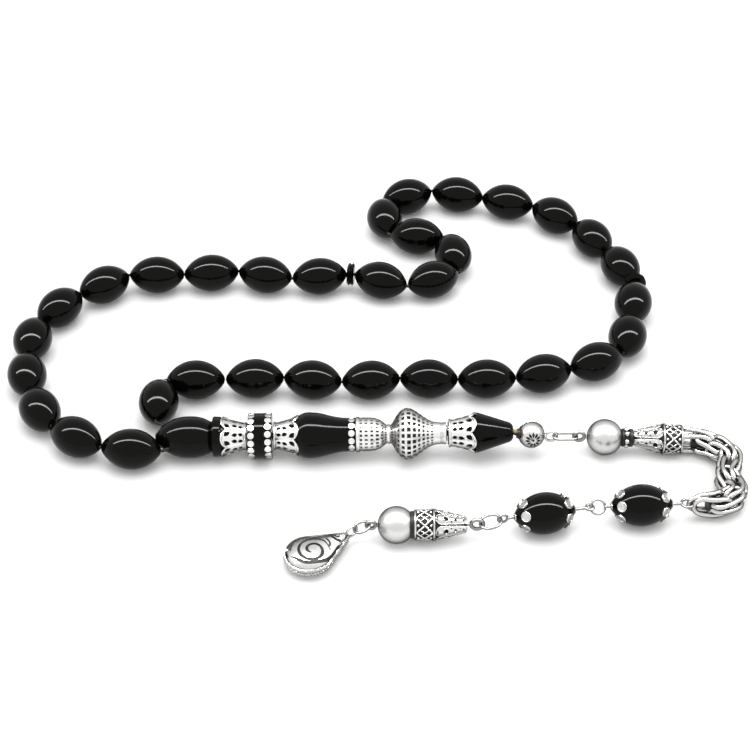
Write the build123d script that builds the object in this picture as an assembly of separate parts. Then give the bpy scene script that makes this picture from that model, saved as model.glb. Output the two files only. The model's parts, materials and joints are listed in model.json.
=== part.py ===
from build123d import *
from math import cos, radians, sin, sqrt, tan
import os

# A misbaha: 33 barley-shaped beads on a looped string, two marker discs, a long
# silver-mounted head, and a tassel of silver and two capped stones.
# Units are millimetres. The beads lie flat on the plane Z = 0, with +Z up.

# --- Whole object ---------------------------------------------------------------
TABLE_SHIFT = Vector(1.37, -2.77, 0)   # brings the middle of the whole outline to X = Y = 0
FIT_GAP = 0.03                       # radial gap between pieces that are fitted together

# --- Beads ----------------------------------------------------------------------
BEAD_LENGTH = 13.0
BEAD_RADIUS = 4.5
BEAD_ROLL = 180  # degrees about the bead's own axis: moves only the seam of its turned faces
TIP_RADIUS = 0.8
BORE_RADIUS = 0.55
DISC_THICKNESS = 1.7
DISC_RADIUS = 2.8
DISC_GROOVE_RADIUS = 2.45
DISC_SHOULDER_RADIUS = 2.3
DISC_RIDGE_OFFSET = 0.45

# --- Lay of the loop ------------------------------------------------------------
FIRST_BEAD = (-48.8, -15.1)
# Direction of each bead along the string, in degrees from +X, from one end of the
# string to the other.
HEADINGS = [
    89, 1, 3, -7, 6, -2, 2, 15, 23, 77, 80,
    113, 120, 141, 164, 166, 202, 277, 354, 284, 204, 159,
    188, 167, 186, 181, 215, 232, 264, 280, 300, 329, 355,
]
DISC_AFTER = (11, 22)
TIP_GAP = 0.09
# The loop folds as a four-bar: these beads each end one stiff stretch of it, and the
# gap after each is widened for the extra degrees that the fold turns it through.
FOLD_AFTER = {2: 20, 9: 8, 20: 28, 27: 8}
# The sharp bend beside the head also needs a wider gap.
WIDE_GAP_AFTER = {1: 22, **FOLD_AFTER}

# --- String ---------------------------------------------------------------------
STRING_RADIUS = 0.35
STRING_BEND = 0.9
STRAND_OFFSET = 0.38
KNOT_RADIUS = 1.3

# --- Head: stations along its axis from the loop end, and radii -------------------
HEAD_LEFT = Vector(-48.4, -27.6, 4.6)
HEAD_PITCH = 1.2                     # it lies on the studded ring and on the onion
HEAD_BORE = 1.0
SIDE_BORE = 0.75
SIDE_MOUTH = (2.6, 3.6)              # station and offset where a strand goes in
MERGE_STATION = 8.0
COLLAR = (12.9, 14.6)
COLLAR_RADIUS = 4.45
CROWN_1 = (14.6, 20.2)
RING = (20.5, 25.8)
RING_RADIUS = 5.05
RING_CORNER = 0.8
CROWN_2 = (26.1, 31.6)
BARREL_WIDE = 34.4
BARREL_END = 44.2
DOME = (44.3, 51.3)
DOME_RADIUS = 3.7
ONION = (51.6, 61.2)
ONION_WIDE = 55.7
ONION_RADIUS = 5.7
NECK_RADIUS = 2.4
CROWN_3 = (64.5, 70.8)
CONE_END = 78.8
CROWN_WIDE = 4.3
CROWN_NARROW = 2.85
SHELL = 0.45
STUD_RADIUS = 0.7
STUD_DEPTH = 0.8
RING_STUDS = 18
BARREL_STUDS = 13
STUD_STATIONS = (21.25, 25.05)
BARREL_STUD_STATION = 43.3

# --- Tassel ---------------------------------------------------------------------
WIRE = 0.6                           # diameter of the eyes and small links
STEM_RADIUS = 0.35                   # the straight wire between two eyes
LINK_GAP = 0.12                      # play where one link holds the next
LINK_REACH = (WIRE + LINK_GAP) / 2   # how far a small link goes past its pivot
CHAIN_WIRE = 1.15
CHAIN_REACH = CHAIN_WIRE + LINK_GAP  # a flat link passes round the next one's wire
MOUTH_REACH = 0.65                   # the first link passes round the cone's eye
CHAIN_WIDTH = 5.6
CHAIN_FIRST_WIDTH = 4.4
FLOWER_BALL_RADIUS = 2.95
BALL_RADIUS = 4.0
BALL_SEAT_GAP = 0.12
CAP_PETALS = 6
PENDANT_LENGTH = 14.7
PENDANT_WIDTH = 10.0
PENDANT_THICKNESS = 5.0
PENDANT_DROP = 0.7                   # its middle lies this much lower than its ring
STONE_WIRE = 0.5
STONE_REACH = (STONE_WIRE + LINK_GAP) / 2
CHAIN_EYE_REACH = (STONE_WIRE + CHAIN_WIRE) / 2 + LINK_GAP
UPPER_EYE = 1.2                      # radii of the eyes
MOUTH_EYE = 1.15
LOWER_EYE = 1.35
BALL_EYE = 1.0
UPPER_BALL_CENTRE = 6.5              # distances from the pivot that a piece hangs from
LOWER_CONE_START = 3.2
LOWER_BALL_CENTRE = 18.0
STONE_A_CENTRE = 10.1
STONE_B_CENTRE = 10.3

# Points where one piece of the tassel hangs in the next, from the head outwards.
THREAD_PIVOT = Vector(31.5, -27.8, 6.0)
KNOT_CENTRE = Vector(34.2, -27.7, 5.5)
BALL_EYE_PIVOT = Vector(39.8, -27.2, 4.6)
LINK_PIVOT = Vector(44.3, -26.7, 4.25)
CHAIN_POINTS = [
    Vector(67.3, -26.8, 3.5), Vector(73.5, -27.9, 3.2), Vector(77.8, -32.4, 3.0),
    Vector(79.5, -38.4, 3.0), Vector(77.6, -44.3, 3.1), Vector(72.6, -48.0, 3.6),
    Vector(66.7, -48.8, 4.55),
]
STONE_JOIN = Vector(46.0, -50.0, 4.55)
STONE_END = Vector(26.2, -53.7, 4.55)
LOWER_CONE_PIVOT = Vector(22.5, -54.7, 4.0)
LOWER_BALL_PIVOT = Vector(-1.5, -55.0, 4.05)
PENDANT_PIVOT = Vector(-4.1, -55.4, 3.2)
PENDANT_HEADING = 216


def heading_vector(degrees):
    return Vector(cos(radians(degrees)), sin(radians(degrees)), 0)


def along(start, towards, roll=0):
    """Placement whose local +X runs from one point to another, rolled about that line."""
    forward = (towards - start).normalized()
    side = Vector(0, 0, 1).cross(forward).normalized()
    plane = Plane(origin=start, x_dir=forward, z_dir=forward.cross(side))
    return plane.location * Rotation(roll, 0, 0)


def turned(*edges):
    """Solid of revolution about X of a closed half section drawn in X and radius."""
    return revolve(make_face(edges), Axis.X)


def turned_polygon(*points):
    return revolve(make_face(Polyline(*points, close=True)), Axis.X)


def rod(start, end, radius):
    """Round bar along X between two stations."""
    return turned_polygon((start, 0), (start, radius), (end, radius), (end, 0))


def eye(centre, radius, wire):
    """Round wire ring in the local XZ plane, centred at a station on X."""
    return Pos(centre, 0, 0) * Rotation(90, 0, 0) * Torus(radius, wire / 2)


def oval_link(length, width, wire, reaches=(LINK_REACH, LINK_REACH)):
    """Wire link in the local XY plane that reaches past the pivots 0 and length."""
    bend = (width - wire) / 2
    left = -reaches[0] + bend
    right = length + reaches[1] - bend
    centre_line = Wire([
        Edge.make_line((left, bend), (right, bend)),
        Edge.make_three_point_arc((right, bend), (right + bend, 0), (right, -bend)),
        Edge.make_line((right, -bend), (left, -bend)),
        Edge.make_three_point_arc((left, -bend), (left - bend, 0), (left, bend)),
    ])
    section = Plane(origin=(left, bend, 0), z_dir=(1, 0, 0)) * Circle(wire / 2)
    return sweep(section, path=centre_line)


def group(pieces):
    """Separate solids kept together in one node."""
    return Compound([solid for piece in pieces for solid in piece.solids()])


# --- Loop of beads --------------------------------------------------------------
def tip_reach(turn):
    """Distance from a bead's tip to the point where the string bends by turn degrees."""
    return TIP_GAP + TIP_RADIUS * tan(radians(abs(turn)) / 2)


def lay_out_loop():
    """Centre of each bead, the string's bend points after each, and each disc's place."""
    here = Vector(*FIRST_BEAD, BEAD_RADIUS)
    centres = [here]
    bends = {}
    discs = []
    for number in range(1, len(HEADINGS)):
        before = HEADINGS[number - 1]
        after = HEADINGS[number]
        extra = WIDE_GAP_AFTER.get(number, 0)
        if number in DISC_AFTER:
            middle = (before + after) / 2
            reach = tip_reach((after - before) / 2)
            first = here + heading_vector(before) * (BEAD_LENGTH / 2 + reach)
            half = DISC_THICKNESS / 2 + reach
            disc = first + heading_vector(middle) * half
            second = disc + heading_vector(middle) * half
            discs.append((disc, middle))
            bends[number] = [first, second]
        else:
            reach = tip_reach(abs(after - before) + extra)
            second = here + heading_vector(before) * (BEAD_LENGTH / 2 + reach)
            bends[number] = [second]
        here = second + heading_vector(after) * (BEAD_LENGTH / 2 + reach)
        centres.append(here)
    return centres, bends, discs


CENTRES, BENDS, DISCS = lay_out_loop()
BEAD_COUNT = len(CENTRES)


def fold_point(number):
    return BENDS[number][0]


def barley_bead():
    half = BEAD_LENGTH / 2
    flank = ThreePointArc((-half, TIP_RADIUS), (0, BEAD_RADIUS), (half, TIP_RADIUS))
    bore = Polyline(
        (half, TIP_RADIUS), (half, BORE_RADIUS), (-half, BORE_RADIUS), (-half, TIP_RADIUS)
    )
    return turned(flank, bore)


def placed_bead(index):
    start = CENTRES[index]
    return along(start, start + heading_vector(HEADINGS[index]), BEAD_ROLL) * barley_bead()


def marker_disc(index):
    half = DISC_THICKNESS / 2
    disc = turned_polygon(
        (-half, BORE_RADIUS), (-half, DISC_SHOULDER_RADIUS),
        (-DISC_RIDGE_OFFSET, DISC_RADIUS), (0, DISC_GROOVE_RADIUS),
        (DISC_RIDGE_OFFSET, DISC_RADIUS), (half, DISC_SHOULDER_RADIUS), (half, BORE_RADIUS),
    )
    centre, heading = DISCS[index]
    return along(centre, centre + heading_vector(heading)) * disc


def string_tube(points):
    """Round string: straight runs joined by tangent arcs."""
    path = FilletPolyline(*points, radius=STRING_BEND)
    start = path @ 0
    section = Plane(origin=start, z_dir=path % 0) * Circle(STRING_RADIUS)
    return sweep(section, path=path)


def pulled_back(point, neighbour, amount):
    return point + (neighbour - point).normalized() * amount


def strand_end(number):
    """How far a stretch of string stops short of the fold point that it ends at."""
    turn = abs(HEADINGS[number] - HEADINGS[number - 1]) + FOLD_AFTER[number]
    return FIT_GAP + STRING_RADIUS * tan(radians(turn) / 2)


def string_between(first, last):
    """String from one fold point to the next, through the beads between them."""
    points = [fold_point(first)]
    for number in range(first + 1, last):
        points += BENDS[number]
    points.append(fold_point(last))
    points[0] = pulled_back(points[0], points[1], strand_end(first))
    points[-1] = pulled_back(points[-1], points[-2], strand_end(last))
    return string_tube(points)


def head_place():
    return Location(HEAD_LEFT) * Rotation(0, -HEAD_PITCH, 0)


def head_point(station, offset):
    return (head_place() * Pos(station, offset, 0)).position


def string_in_head():
    """The two ends of the string, each from its last fold point, and their knot."""
    sideways = Vector(0, STRAND_OFFSET, 0)
    mouth, offset = SIDE_MOUTH

    first_bead_end = CENTRES[0] - heading_vector(HEADINGS[0]) * (BEAD_LENGTH / 2 + 0.7)
    upper = [fold_point(2), fold_point(1), first_bead_end, head_point(mouth, offset)]
    upper += [head_point(MERGE_STATION, STRAND_OFFSET), head_point(CONE_END, STRAND_OFFSET)]
    upper += [THREAD_PIVOT + sideways, KNOT_CENTRE + sideways]
    upper[0] = pulled_back(upper[0], upper[1], strand_end(2))

    last_bead_end = CENTRES[-1] + heading_vector(HEADINGS[-1]) * (BEAD_LENGTH / 2 + 0.6)
    lower = [fold_point(27)]
    for number in range(28, BEAD_COUNT):
        lower += BENDS[number]
    lower += [last_bead_end, head_point(MERGE_STATION, -STRAND_OFFSET)]
    lower += [head_point(CONE_END, -STRAND_OFFSET)]
    lower += [THREAD_PIVOT - sideways, KNOT_CENTRE - sideways]
    lower[0] = pulled_back(lower[0], lower[1], strand_end(27))
    ends = string_tube(upper) + string_tube(lower)
    return ends + Location(KNOT_CENTRE) * Sphere(KNOT_RADIUS)


# --- Head -----------------------------------------------------------------------
def side_bores():
    """The two slanting holes that bring the strands into the head's long bore."""
    mouth, offset = SIDE_MOUTH
    bores = None
    for side in (1, -1):
        inner = Vector(MERGE_STATION + 0.4, side * STRAND_OFFSET, 0)
        outer = Vector(mouth, side * offset, 0)
        outer += (outer - inner).normalized() * 3
        length = (outer - inner).length
        bore = along(inner, outer) * rod(0, length, SIDE_BORE)
        bores = bore if bores is None else bores + bore
    return bores


def head_base():
    collar_start, collar_end = COLLAR
    core_end = CROWN_1[1]
    bulb = Line((0, 0), (0, 0.9))
    shoulder = ThreePointArc((0, 0.9), (2.2, 3.05), (7.6, 4.6))
    waist = ThreePointArc((7.6, 4.6), (10.2, 4.3), (12.4, 3.3))
    rest = Polyline(
        (12.4, 3.3), (collar_start, COLLAR_RADIUS), (collar_end, COLLAR_RADIUS - 0.15),
        (collar_end, CROWN_WIDE - SHELL - FIT_GAP), (core_end, CROWN_NARROW - SHELL - FIT_GAP),
        (core_end, 0), (0, 0),
    )
    body = turned(bulb, shoulder, waist, rest)
    return body - rod(MERGE_STATION - 2.5, core_end + 1, HEAD_BORE) - side_bores()


def crown(narrow_station, wide_station):
    """Conical shell whose wide edge is cut into six round scallops."""
    step = 1 if wide_station > narrow_station else -1
    shell = turned_polygon(
        (narrow_station, CROWN_NARROW - SHELL), (narrow_station, CROWN_NARROW),
        (wide_station, CROWN_WIDE), (wide_station, CROWN_WIDE - SHELL),
    )
    notch = Pos(wide_station + 0.55 * step, 0, 0) * Cylinder(1.1, 2 * CROWN_WIDE)
    for number in range(CAP_PETALS // 2):
        shell -= Rotation(60 * number + 30, 0, 0) * notch
    return shell


def rounded_ring():
    start, end = RING
    face = make_face(Polyline(
        (start, HEAD_BORE), (start, RING_RADIUS), (end, RING_RADIUS), (end, HEAD_BORE),
        close=True,
    ))
    outer = face.vertices().group_by(Axis.Y)[-1]
    return revolve(fillet(outer, RING_CORNER), Axis.X)


def stud_row(station, radius, count, envelope, pin_radius):
    """Pins set round the axis, cut off flush with the turned envelope."""
    depth = STUD_DEPTH + 1
    pin = Pos(station, 0, radius - STUD_DEPTH + depth / 2) * Cylinder(pin_radius, depth)
    flush_pin = pin & envelope
    return [Rotation(360 * number / count, 0, 0) * flush_pin for number in range(count)]


def barrel_body():
    start, full = CROWN_2
    core = Polyline(
        (start, 0), (start, CROWN_NARROW - SHELL - FIT_GAP),
        (full, CROWN_WIDE - SHELL - FIT_GAP), (full, CROWN_WIDE + 0.1),
    )
    swell = ThreePointArc((full, CROWN_WIDE + 0.1), (32.8, 4.9), (BARREL_WIDE, RING_RADIUS))
    taper = Spline(
        (BARREL_WIDE, RING_RADIUS), (38.5, 4.35), (42.5, DOME_RADIUS),
        tangents=[(1, 0), (1, 0)],
    )
    spindle = Polyline(
        (42.5, DOME_RADIUS), (BARREL_END, DOME_RADIUS), (BARREL_END, 1.7),
        (CROWN_3[0] - 0.1, 1.7), (CROWN_3[0] - 0.1, 0), (start, 0),
    )
    return turned(core, swell, taper, spindle) - rod(start - 1, CROWN_3[0], HEAD_BORE)


def stud_sets(pin_radius):
    ring_rows = []
    for station in STUD_STATIONS:
        ring_rows += stud_row(station, RING_RADIUS, RING_STUDS, rounded_ring(), pin_radius)
    barrel_row = stud_row(
        BARREL_STUD_STATION, DOME_RADIUS, BARREL_STUDS,
        rod(BARREL_WIDE, BARREL_END, DOME_RADIUS), pin_radius,
    )
    return ring_rows, barrel_row


def silver_dome():
    start, waist = DOME
    outer = ThreePointArc((start + 4.0, DOME_RADIUS), (start + 5.6, 3.1), (start + 6.6, 1.95))
    inner = ThreePointArc(
        (start + 6.6, 1.95 - 0.2), (start + 5.3, 2.75), (start + 4.0, DOME_RADIUS - SHELL)
    )
    wall = Polyline(
        (start + 4.0, DOME_RADIUS - SHELL), (start, DOME_RADIUS - SHELL),
        (start, DOME_RADIUS), (start + 4.0, DOME_RADIUS),
    )
    lip = Polyline(
        (start + 6.6, 1.95), (waist, 1.95), (waist, 1.95 - 0.2), (start + 6.6, 1.95 - 0.2)
    )
    return turned(outer, lip, inner, wall)


def silver_onion():
    start, end = ONION
    crown_start, crown_end = CROWN_3
    bulge = Spline(
        (start, 2.0), (53.2, 4.2), (ONION_WIDE, ONION_RADIUS), (59.0, 4.0), (end, NECK_RADIUS),
        tangents=[(0.5, 1), (1, -0.15)],
    )
    hollow = Spline(
        (end, NECK_RADIUS - SHELL), (59.0, 4.0 - SHELL), (ONION_WIDE, ONION_RADIUS - SHELL),
        (53.5, 4.2 - SHELL), (start + 0.1, 1.8),
        tangents=[(-1, 0.15), (-0.5, -1)],
    )
    neck = Polyline(
        (end, NECK_RADIUS), (crown_start - 0.05, NECK_RADIUS),
        (crown_start - 0.05, NECK_RADIUS - SHELL), (end, NECK_RADIUS - SHELL),
    )
    lip = Line((start + 0.1, 1.8), (start, 2.0))
    return turned(bulge, neck, hollow, lip)


def head_cone():
    start, full = CROWN_3
    body = turned_polygon(
        (start, 0), (start, CROWN_NARROW - SHELL - FIT_GAP),
        (full, CROWN_WIDE - SHELL - FIT_GAP), (full, CROWN_WIDE + 0.1),
        (full + 0.4, CROWN_WIDE + 0.1), (CONE_END - 0.7, 2.1), (CONE_END, 1.5), (CONE_END, 0),
    )
    return body - rod(start - 1, CONE_END + 1, HEAD_BORE)


def head_nodes():
    ring_pockets, barrel_pockets = stud_sets(STUD_RADIUS + FIT_GAP)
    ring_pins, barrel_pins = stud_sets(STUD_RADIUS)
    ring = rounded_ring()
    for pocket in ring_pockets:
        ring -= pocket
    barrel = barrel_body()
    for pocket in barrel_pockets:
        barrel -= pocket
    pins = [lifted_pin(pin) for pin in ring_pins + barrel_pins]
    silver = [crown(CROWN_1[1], CROWN_1[0]), crown(*CROWN_2), crown(*CROWN_3)]
    silver += [silver_dome(), silver_onion()] + pins
    place = head_place()
    return {
        "head_base": place * head_base(),
        "head_studded_ring": place * ring,
        "head_barrel": place * barrel,
        "head_cone": place * head_cone(),
        "head_silverwork": group([place * piece for piece in silver]),
    }


def lifted_pin(pin):
    """The pin moved out from the axis, so that its foot clears the pocket's floor."""
    middle = pin.center()
    outward = Vector(0, middle.Y, middle.Z).normalized() * FIT_GAP
    return Pos(outward.X, outward.Y, outward.Z) * pin


# --- Tassel ---------------------------------------------------------------------
def flower_ball():
    """Hollow ball that holds the knot, with the eye that the tassel hangs from."""
    length = (BALL_EYE_PIVOT - THREAD_PIVOT).length
    centre = FLOWER_BALL_RADIUS + 0.05
    eye_radius = 1.3
    eye_centre = length + LINK_REACH - eye_radius
    shell = Pos(centre, 0, 0) * (Sphere(FLOWER_BALL_RADIUS) - Sphere(FLOWER_BALL_RADIUS - 0.5))
    shell -= rod(-1, 1.5, 1.0)
    stem = rod(centre + FLOWER_BALL_RADIUS - 0.3, eye_centre - eye_radius + 0.1, 0.45)
    return along(THREAD_PIVOT, BALL_EYE_PIVOT) * (shell + stem + eye(eye_centre, eye_radius, WIRE))


def ball_link():
    length = (LINK_PIVOT - BALL_EYE_PIVOT).length
    return along(BALL_EYE_PIVOT, LINK_PIVOT) * oval_link(length, 2.7, WIRE)


def cone_cap(narrow, widest, end):
    """Trumpet-shaped shell: slender petals, then a plain band with an open mouth."""
    return turned_polygon(
        (narrow, 0.2), (narrow, 1.5), (widest, 2.75), (widest + 0.3, 3.35), (end, 3.4),
        (end, 2.9), (widest + 0.6, 2.85), (widest, 2.3), (narrow + 0.8, 0.9),
        (narrow + 0.8, 0.2),
    )


def ball_seat(ball_centre, side, back, radius):
    """Disc whose face is hollowed to follow the ball beside it."""
    curve = BALL_RADIUS + BALL_SEAT_GAP
    rim, middle, hub = [
        (ball_centre + side * sqrt(curve**2 - r**2), r) for r in (radius, radius / 2, 0.2)
    ]
    return turned(
        ThreePointArc(hub, middle, rim), Polyline(rim, (back, radius), (back, 0.2), hub)
    )


def polished_ball():
    """Hollow bead that turns on its wire."""
    return Sphere(BALL_RADIUS) - rod(-5, 5, STEM_RADIUS + 0.15)


def upper_cone():
    """Wire with an eye at each end, and the beaded collar and cone soldered to it."""
    length = (CHAIN_POINTS[0] - LINK_PIVOT).length
    reach = LINK_REACH
    first = eye(UPPER_EYE - reach, UPPER_EYE, WIRE)
    last = eye(length + reach - MOUTH_EYE, MOUTH_EYE, WIRE)
    wire = rod(2 * UPPER_EYE - reach, length + reach - 2 * MOUTH_EYE, STEM_RADIUS)
    collar = ball_seat(UPPER_BALL_CENTRE, 1, UPPER_BALL_CENTRE + 6.1, 2.05)
    cone = cone_cap(UPPER_BALL_CENTRE + 6.0, UPPER_BALL_CENTRE + 12.5, UPPER_BALL_CENTRE + 17.0)
    return along(LINK_PIVOT, CHAIN_POINTS[0]) * (first + last + wire + collar + cone)


def upper_ball():
    return along(LINK_PIVOT, CHAIN_POINTS[0]) * Pos(UPPER_BALL_CENTRE, 0, 0) * polished_ball()


def chain_link(number):
    """A flat oval wire link and the one on edge that it holds."""
    start, middle, end = CHAIN_POINTS[2 * number:2 * number + 3]
    width = CHAIN_WIDTH if number > 0 else CHAIN_FIRST_WIDTH
    first_reach = CHAIN_REACH if number > 0 else MOUTH_REACH
    flat = oval_link((middle - start).length, width, CHAIN_WIRE, (first_reach, CHAIN_REACH))
    upright = oval_link((end - middle).length, CHAIN_WIDTH, CHAIN_WIRE, (0, 0))
    return group([along(start, middle) * flat, along(middle, end, 90) * upright])


def petal_cap(centre, side):
    """Shallow cup with six round petals that lies on one tip of a stone."""
    inside = ThreePointArc((4.1, 3.34), (5.4, 2.28), (6.6, 0.95))
    outside = ThreePointArc((4.2, 3.75), (5.75, 2.55), (7.05, 1.0))
    rim = Line((4.1, 3.34), (4.2, 3.75))
    throat = Polyline((7.05, 1.0), (7.05, 0.45), (6.6, 0.45), (6.6, 0.95))
    cup = turned(inside, throat, outside, rim)
    notch = Pos(4.0, 0, 0) * Cylinder(0.55, 10)
    for number in range(CAP_PETALS // 2):
        cup -= Rotation(60 * number, 0, 0) * notch
    turn = 0 if side > 0 else 180
    return Pos(centre, 0, 0) * Rotation(0, 0, turn) * cup


def stone_caps(start, end, centre, first_eye, last_eye, first_reach, rolls):
    """Two petal caps and the wire through the stone, with an eye at each end."""
    length = (end - start).length
    last_centre = length + STONE_REACH - last_eye
    first = Rotation(rolls[0], 0, 0) * eye(first_eye - first_reach, first_eye, STONE_WIRE)
    last = Rotation(rolls[1], 0, 0) * eye(last_centre, last_eye, STONE_WIRE)
    wire = first + last
    wire += rod(2 * first_eye - first_reach, last_centre - last_eye, STEM_RADIUS)
    place = along(start, end)
    pieces = [wire, petal_cap(centre, -1), petal_cap(centre, 1)]
    return group([place * piece for piece in pieces])


def stone(start, end, centre):
    return along(start, end) * Pos(centre, 0, 0) * barley_bead()


def joining_link():
    length = (LOWER_CONE_PIVOT - STONE_END).length
    return along(STONE_END, LOWER_CONE_PIVOT) * oval_link(length, 4.4, WIRE)


def lower_cone():
    length = (LOWER_BALL_PIVOT - LOWER_CONE_PIVOT).length
    reach = LINK_REACH
    first = eye(LOWER_EYE - reach, LOWER_EYE, WIRE)
    last = eye(length + reach - BALL_EYE, BALL_EYE, WIRE)
    wire = rod(2 * LOWER_EYE - reach, length + reach - 2 * BALL_EYE, STEM_RADIUS)
    cone = cone_cap(LOWER_CONE_START, LOWER_CONE_START + 6.7, LOWER_CONE_START + 11.2)
    plate = ball_seat(LOWER_BALL_CENTRE, -1, LOWER_CONE_START + 10.3, 3.0)
    place = along(LOWER_CONE_PIVOT, LOWER_BALL_PIVOT)
    return place * (first + last + wire + cone + plate)


def lower_ball():
    place = along(LOWER_CONE_PIVOT, LOWER_BALL_PIVOT)
    return place * Pos(LOWER_BALL_CENTRE, 0, 0) * polished_ball()


def pendant_ring():
    length = (PENDANT_PIVOT - LOWER_BALL_PIVOT).length
    return along(LOWER_BALL_PIVOT, PENDANT_PIVOT) * oval_link(length, 3.6, WIRE)


def pendant():
    """Puffed teardrop with its ring, lying flat."""
    body_start = 2.2
    wide = PENDANT_WIDTH / 2
    wide_centre = body_start + PENDANT_LENGTH - wide
    outline = make_hull([
        *(Pos(wide_centre, 0) * Circle(wide)).edges(),
        *(Pos(body_start + 0.9, 0) * Circle(0.9)).edges(),
    ])
    body = extrude(outline, PENDANT_THICKNESS / 2, both=True)
    dome_radius = 24.0
    rise = dome_radius - PENDANT_THICKNESS / 2
    for side in (1, -1):
        body &= Pos(wide_centre - 1.5, 0, -side * rise) * Sphere(dome_radius)
    ring = eye(1.35 - (0.7 + LINK_GAP) / 2, 1.35, 0.7)
    direction = heading_vector(PENDANT_HEADING)
    place = along(PENDANT_PIVOT, PENDANT_PIVOT + direction)
    return place * ring + place * Pos(0, 0, -PENDANT_DROP) * body


def loop_nodes():
    nodes = {}
    for index in range(BEAD_COUNT):
        nodes[f"bead_{index + 1:02d}"] = placed_bead(index)
    for index in range(len(DISCS)):
        nodes[f"marker_disc_{index + 1}"] = marker_disc(index)
    nodes["string_lower_row"] = string_between(2, 9)
    nodes["string_right_side"] = string_between(9, 20)
    nodes["string_upper_row"] = string_between(20, 27)
    nodes["string_head"] = string_in_head()
    return nodes


def tassel_nodes():
    chain_end = CHAIN_POINTS[-1]
    nodes = {
        "flower_ball": flower_ball(),
        "ball_link": ball_link(),
        "upper_cone": upper_cone(),
        "upper_ball": upper_ball(),
    }
    for number in range(3):
        nodes[f"chain_link_{number + 1}"] = chain_link(number)
    nodes["stone_a"] = stone(chain_end, STONE_JOIN, STONE_A_CENTRE)
    nodes["stone_a_caps"] = stone_caps(
        chain_end, STONE_JOIN, STONE_A_CENTRE, 1.25, 1.55, CHAIN_EYE_REACH, (90, 40)
    )
    nodes["stone_b"] = stone(STONE_JOIN, STONE_END, STONE_B_CENTRE)
    nodes["stone_b_caps"] = stone_caps(
        STONE_JOIN, STONE_END, STONE_B_CENTRE, 0.8, 1.0, STONE_REACH, (90, 0)
    )
    nodes["joining_link"] = joining_link()
    nodes["lower_cone"] = lower_cone()
    nodes["lower_ball"] = lower_ball()
    nodes["pendant_ring"] = pendant_ring()
    nodes["pendant"] = pendant()
    return nodes


def main():
    os.makedirs("parts", exist_ok=True)
    nodes = {**loop_nodes(), **head_nodes(), **tassel_nodes()}
    for name, shape in nodes.items():
        export_step(Location(TABLE_SHIFT) * shape, f"parts/{name}.step")


if __name__ == "__main__":
    main()
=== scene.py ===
"""A looped string of black prayer beads with a silver-mounted head and a silver tassel."""
import bisect
import json
import math

import bmesh
import bpy
from mathutils import Matrix, Vector
from mathutils.geometry import delaunay_2d_cdt


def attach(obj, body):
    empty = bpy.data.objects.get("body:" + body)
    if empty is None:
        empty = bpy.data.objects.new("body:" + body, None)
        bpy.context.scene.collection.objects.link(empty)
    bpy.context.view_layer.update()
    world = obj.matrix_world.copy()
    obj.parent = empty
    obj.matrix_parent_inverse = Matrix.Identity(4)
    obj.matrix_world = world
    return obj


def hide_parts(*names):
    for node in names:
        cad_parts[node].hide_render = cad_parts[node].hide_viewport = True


# Shapes are drawn in millimetres along a local +X and then placed in the row's metres.
MM = 0.001
TAU = 2 * math.pi
UP = Vector((0, 0, 1))

# --- Sizes, in millimetres --------------------------------------------------------
BEAD_COUNT = 33
BEAD_HALF = 6.5
BEAD_RADIUS = 4.5
TIP_RADIUS = 0.8
BORE_RADIUS = 0.5
STUD_RADIUS = 0.76
DOME_ROWS = 24
ONION_ROWS = 25
BALL_RADIUS = 4.0
FLOWER_BALL_RADIUS = 2.95
UPPER_CONE_START = 12.95               # stations of the petals' narrow ends
LOWER_CONE_START = 3.2
HEAD_START = (-47.03, -30.37, 4.6)     # the end at the loop
HEAD_PITCH = math.radians(1.2)


# --- Placing ----------------------------------------------------------------------
def along(start, towards, roll=0.0):
    """Matrix from local millimetres to row metres, with +X from one point to another."""
    forward = (towards - start).normalized()
    side = UP.cross(forward).normalized()
    up = forward.cross(side)
    basis = Matrix((forward, side, up)).transposed().to_4x4()
    place = Matrix.Translation(start * MM) @ Matrix.Scale(MM, 4) @ basis
    return place @ Matrix.Rotation(roll, 4, "X")


def shift(station):
    return Matrix.Translation((station, 0, 0))


def spin(angle):
    return Matrix.Rotation(angle, 4, "X")


# --- Meshes -----------------------------------------------------------------------
def arc(first, middle, last, count):
    """Points on the circle arc through three points in the plane."""
    ax, ay = first
    bx, by = middle
    cx, cy = last
    d = 2 * (ax * (by - cy) + bx * (cy - ay) + cx * (ay - by))
    a2, b2, c2 = ax * ax + ay * ay, bx * bx + by * by, cx * cx + cy * cy
    ox = (a2 * (by - cy) + b2 * (cy - ay) + c2 * (ay - by)) / d
    oy = (a2 * (cx - bx) + b2 * (ax - cx) + c2 * (bx - ax)) / d
    radius = math.hypot(ax - ox, ay - oy)
    start = math.atan2(ay - oy, ax - ox)
    mid = (math.atan2(by - oy, bx - ox) - start) % TAU
    sweep = (math.atan2(cy - oy, cx - ox) - start) % TAU
    if mid > sweep:
        sweep -= TAU
    return [
        (ox + radius * math.cos(start + sweep * i / count),
         oy + radius * math.sin(start + sweep * i / count))
        for i in range(count + 1)
    ]


def smooth(points, per_span=6):
    """Catmull-Rom curve through points of any dimension."""
    points = [Vector(p) for p in points]
    padded = [2 * points[0] - points[1]] + points + [2 * points[-1] - points[-2]]
    out = []
    for p0, p1, p2, p3 in zip(padded, padded[1:], padded[2:], padded[3:]):
        for i in range(per_span):
            t = i / per_span
            out.append(0.5 * (
                2 * p1 + (p2 - p0) * t + (2 * p0 - 5 * p1 + 4 * p2 - p3) * t * t
                + (3 * p1 - p0 - 3 * p2 + p3) * t ** 3
            ))
    out.append(points[-1])
    return out


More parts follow.
